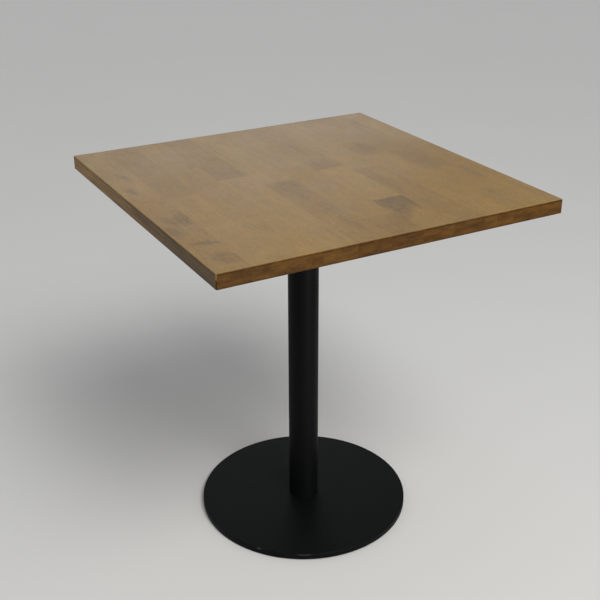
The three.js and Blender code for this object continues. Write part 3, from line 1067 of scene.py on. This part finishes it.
def glide_stud(name, low, high):
    flange_high = low + STUD_FLANGE_THICKNESS
    shank, shape = threaded(
        flange_high + 1, high - M8_END_CHAMFER, M8_MAJOR_RADIUS, M8_PITCH, M8_THREAD_DEPTH
    )
    flange = rounded(
        [
            (0, low, 0),
            (STUD_FLANGE_RADIUS, low, STUD_ROUND),
            (STUD_FLANGE_RADIUS, flange_high, STUD_ROUND),
            (STUD_NECK_RADIUS, flange_high, STUD_ROUND),
        ]
    )
    profile = [*flange, *shank, (M8_MAJOR_RADIUS - M8_END_CHAMFER, high), (0, high)]
    stud = lathe(name, profile, SCREW_SEGMENTS, shape)
    socket = hexagon(f"socket_{name}", STUD_SOCKET_ACROSS_FLATS, low - 1, low + STUD_SOCKET_DEPTH)
    return cut(stud, [socket])


def make_glides(nylon_material, steel_material):
    pad_low, pad_high = node_box("glide_pad_1")
    stud_low, stud_high = node_box("glide_stud_1")
    pad = glide_pad("pad_pattern", pad_low.z, pad_high.z)
    stud = glide_stud("stud_pattern", stud_low.z, stud_high.z)
    for i in range(1, len(nodes_named("glide_pad_")) + 1):
        centre = node_centre(f"glide_pad_{i}")
        own_pad = place(copy_of(pad, f"glide_pad_{i}_moulded"), centre.x, centre.y)
        own_stud = place(copy_of(stud, f"glide_stud_{i}_turned"), centre.x, centre.y)
        stand_for(shade(own_pad), f"glide_pad_{i}", f"glide_{i}", nylon_material)
        stand_for(
            shade(own_stud), f"glide_stud_{i}", f"glide_{i}_stud", steel_material
        )
    remove(pad)
    remove(stud)


# ---- floor, light and camera ----

FLOOR_RADIUS = 30000
FLOOR_COLOUR = (0.74, 0.74, 0.73)
WORLD_COLOUR = (0.96, 0.98, 1.0)
WORLD_STRENGTH = 0.40
WARM_LIGHT = (1.0, 0.98, 0.95)
FRONT_LIGHT = (1.0, 0.98, 0.96)
COOL_LIGHT = (0.96, 0.98, 1.0)

KEY_AZIMUTH = 0
KEY_ELEVATION = 52
KEY_SPREAD = 28
KEY_STRENGTH = 0.8

VIEW_AZIMUTH = -28.99
VIEW_ELEVATION = 25.18
VIEW_ROLL = -0.14
VIEW_DISTANCE = 2125
VIEW_AIM = Vector((-6, 3.4, 487.6))
LENS_MM = 61.85
SENSOR_MM = 36


def make_floor():
    bm = bmesh.new()
    bmesh.ops.create_circle(bm, cap_ends=True, radius=FLOOR_RADIUS, segments=64)
    floor = object_of("floor", bm)
    shader = Shader("floor_paint")
    cloud = shader.noise(shader.place, 400, detail=3)
    colour = shader.mix(cloud, tuple(0.97 * c for c in FLOOR_COLOUR), FLOOR_COLOUR)
    shader.set(Base_Color=colour, Roughness=0.7, Specular_IOR_Level=0.0)
    floor.data.materials.append(shader.material)


def make_world():
    world = bpy.data.worlds.new("studio")
    world.use_nodes = True
    background = world.node_tree.nodes["Background"]
    background.inputs["Color"].default_value = (*WORLD_COLOUR, 1)
    background.inputs["Strength"].default_value = WORLD_STRENGTH
    bpy.context.scene.world = world


def direction(azimuth, elevation):
    """The way to a light or camera, at degrees from the front round to the right, and above the floor."""
    azimuth, elevation = math.radians(azimuth), math.radians(elevation)
    level = math.cos(elevation)
    return Vector((level * math.sin(azimuth), -level * math.cos(azimuth), math.sin(elevation)))


def area_light(name, place_mm, aim_mm, size_mm, watts, colour, diffuse=True):
    """A round panel that the camera doesn't see. Without diffuse, it shows only in reflections."""
    light = bpy.data.lights.new(name, "AREA")
    light.shape = "DISK"
    light.size = size_mm * MM
    light.energy = watts
    light.color = colour
    obj = bpy.data.objects.new(name, light)
    obj.location = Vector(place_mm) * MM
    obj.rotation_mode = "QUATERNION"
    obj.rotation_quaternion = (Vector(aim_mm) - Vector(place_mm)).to_track_quat("-Z", "Y")
    obj.visible_camera = False
    obj.visible_diffuse = diffuse
    bpy.context.scene.collection.objects.link(obj)


def make_lights():
    sun = bpy.data.lights.new("key", "SUN")
    sun.energy = KEY_STRENGTH
    sun.angle = math.radians(KEY_SPREAD)
    sun.color = WARM_LIGHT
    key = bpy.data.objects.new("key", sun)
    key.rotation_mode = "QUATERNION"
    key.rotation_quaternion = direction(KEY_AZIMUTH, KEY_ELEVATION).to_track_quat("Z", "Y")
    bpy.context.scene.collection.objects.link(key)
    area_light("lamp", (250, -1900, 2750), (0, -100, 600), 1500, 39, WARM_LIGHT)
    area_light("front", (350, -3000, 650), (0, 0, 400), 800, 75, FRONT_LIGHT, diffuse=False)
    area_light("back", (1150, 2750, 1000), (0, 0, 700), 2000, 6, COOL_LIGHT, diffuse=False)
    area_light("side", (-2200, 2600, 700), (0, 0, 400), 2400, 3, COOL_LIGHT, diffuse=False)


def make_camera():
    camera = bpy.data.cameras.new("camera")
    camera.lens = LENS_MM
    camera.sensor_width = SENSOR_MM
    back = direction(VIEW_AZIMUTH, VIEW_ELEVATION)
    obj = bpy.data.objects.new("camera", camera)
    obj.location = (VIEW_AIM + back * VIEW_DISTANCE) * MM
    turn = (-back).to_track_quat("-Z", "Y").to_matrix() @ Matrix.Rotation(math.radians(VIEW_ROLL), 3, "Z")
    obj.rotation_mode = "QUATERNION"
    obj.rotation_quaternion = turn.to_quaternion()
    bpy.context.scene.collection.objects.link(obj)
    bpy.context.scene.camera = obj


def main():
    make_floor()
    make_world()
    make_lights()
    make_camera()
    bpy.context.scene.view_settings.view_transform = "Standard"

    coat = powder_coat()
    zinc = zinc_steel()
    make_top()
    make_disc(coat)
    make_column(coat)
    make_plugs(plain_steel())
    make_spider(coat)
    make_screws(zinc)
    make_glides(nylon(), zinc)


main()
